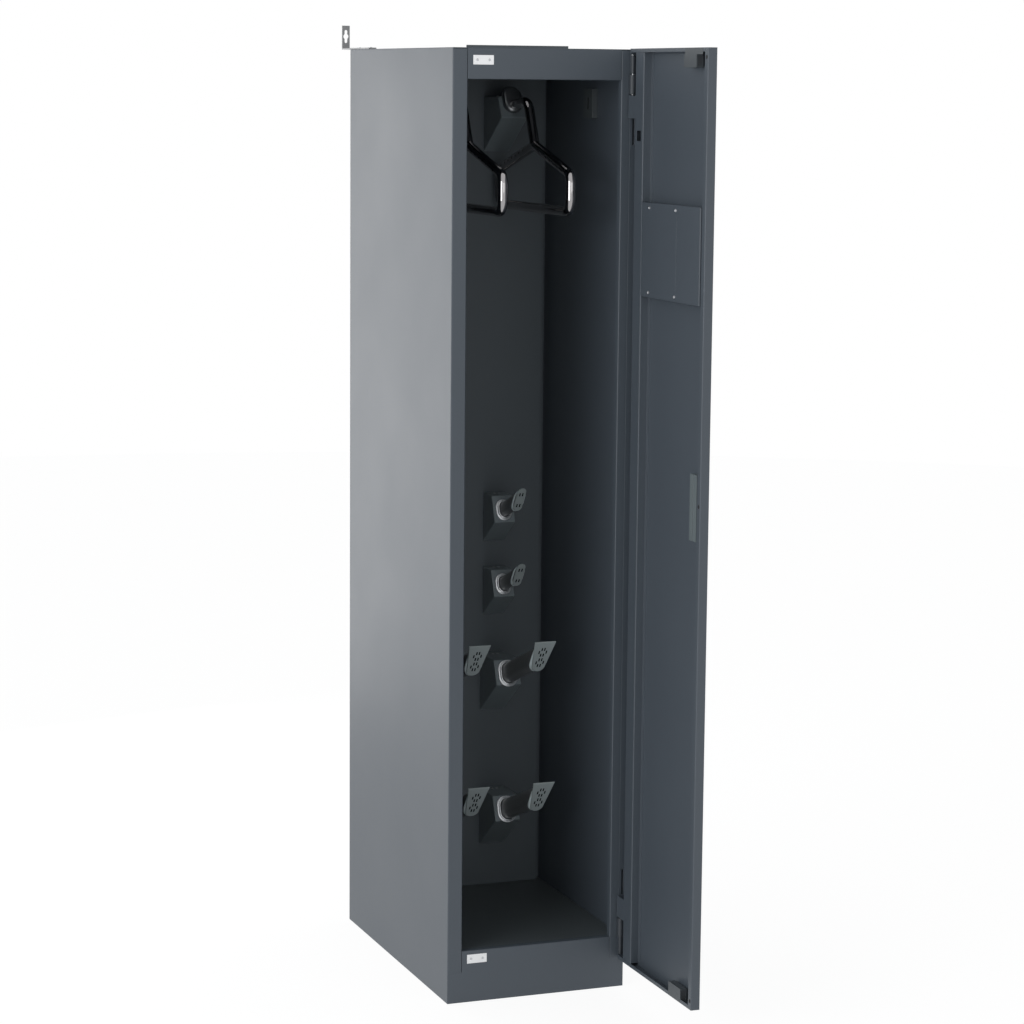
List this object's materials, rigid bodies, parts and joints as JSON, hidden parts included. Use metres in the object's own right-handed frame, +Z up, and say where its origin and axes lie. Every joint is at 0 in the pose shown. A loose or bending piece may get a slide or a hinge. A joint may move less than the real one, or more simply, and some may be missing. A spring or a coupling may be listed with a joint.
{
  "type": "drying cabinet",
  "caption": "Tall narrow steel drying cabinet with a hinged door, an air wall with ducted hangers, glove arms and boot arms, and a fan and heater behind it.",
  "frame": {"origin": "centre of the body's base, on the floor", "axes": "+Z up, -Y to the front where the door is, +X to the hinge side"},
  "size_m": [0.422, 1.1395, 2.043],
  "materials": {
    "body_paint": "satin blue-grey powder coat",
    "inner_paint": "satin dark grey powder coat",
    "black_tube": "satin black",
    "gloss_black": "gloss black",
    "zinc_steel": "zinc plated",
    "white_plate": "white, smooth",
    "silver_collar": "satin silver",
    "grey_plate": "mid grey, satin",
    "grey_plastic": "mid grey, satin",
    "black_rubber": "matt black",
    "black_plastic": "fine texture, black",
    "white_plastic": "smooth, white",
    "filter_mat": "matt filter fleece"
  },
  "bodies": {
    "cabinet": {"side_left": "body_paint", "side_right": "body_paint", "roof": "body_paint", "base_tray": "inner_paint", "floor_pan": "inner_paint", "rear_panel": "inner_paint", "top_rail": "body_paint", "plinth": "body_paint", "air_wall": "inner_paint", "roof_vent_cover": "inner_paint", "wall_bracket": "zinc_steel", "bracket_screws": "zinc_steel", "sensor_cover": "inner_paint", "strike_plates": "white_plate", "strike_rivets": "inner_paint", "hinge_knuckles": "body_paint", "hinge_pins": "zinc_steel", "fan_housing": "zinc_steel", "fan_motor": "zinc_steel", "heater": "zinc_steel", "thermostat": "black_plastic", "air_filter": "filter_mat", "hanger_duct_left": "inner_paint", "hanger_duct_right": "inner_paint", "glove_duct_upper_left": "inner_paint", "glove_duct_upper_right": "inner_paint", "glove_duct_lower_left": "inner_paint", "glove_duct_lower_right": "inner_paint", "boot_duct_upper_left": "inner_paint", "boot_duct_upper_right": "inner_paint", "boot_duct_lower_left": "inner_paint", "boot_duct_lower_right": "inner_paint", "glove_arm_upper_left": "black_tube", "glove_arm_upper_right": "black_tube", "glove_arm_lower_left": "black_tube", "glove_arm_lower_right": "black_tube", "boot_arm_upper_left": "black_tube", "boot_arm_upper_right": "black_tube", "boot_arm_lower_left": "black_tube", "boot_arm_lower_right": "black_tube", "hanger_left": "gloss_black", "hanger_right": "gloss_black", "hanger_hubs": "gloss_black", "ring_collars": "silver_collar", "glove_tips": "grey_plate", "boot_tips": "grey_plate", "duct_screws": "zinc_steel"},
    "door": {"door_skin": "body_paint", "door_channel": "body_paint", "hinge_leaves": "body_paint", "door_cover": "body_paint", "cover_screws": "zinc_steel", "pull_handle": "grey_plate", "magnet_catches": "grey_plastic", "door_buffers": "black_rubber", "control_panel": "black_plastic", "control_unit": "black_plastic"},
    "fan_wheel": {"impeller": "black_plastic"},
    "timer": {"timer_knob": "grey_plastic"},
    "button": {"start_button": "white_plastic"}
  },
  "joints": [
    {"name": "door_hinge", "type": "hinge", "parent": "cabinet", "child": "door", "pos_m": [0.1895, -0.349, 1], "axis": [0, 0, 1], "range_deg": [-90, 0]},
    {"name": "fan_spin", "type": "hinge", "parent": "cabinet", "child": "fan_wheel", "pos_m": [0, 0.23, 1.42], "axis": [0, 1, 0], "continuous": true},
    {"name": "timer_turn", "type": "hinge", "parent": "door", "child": "timer", "pos_m": [0.21, -0.495, 1.585], "axis": [1, 0, 0], "range_deg": [-300, 0]},
    {"name": "start_press", "type": "slide", "parent": "door", "child": "button", "axis": [-1, 0, 0], "range_m": [0, 0.002], "stiffness_N_per_m": 600, "springref_m": -0.001}
  ]
}
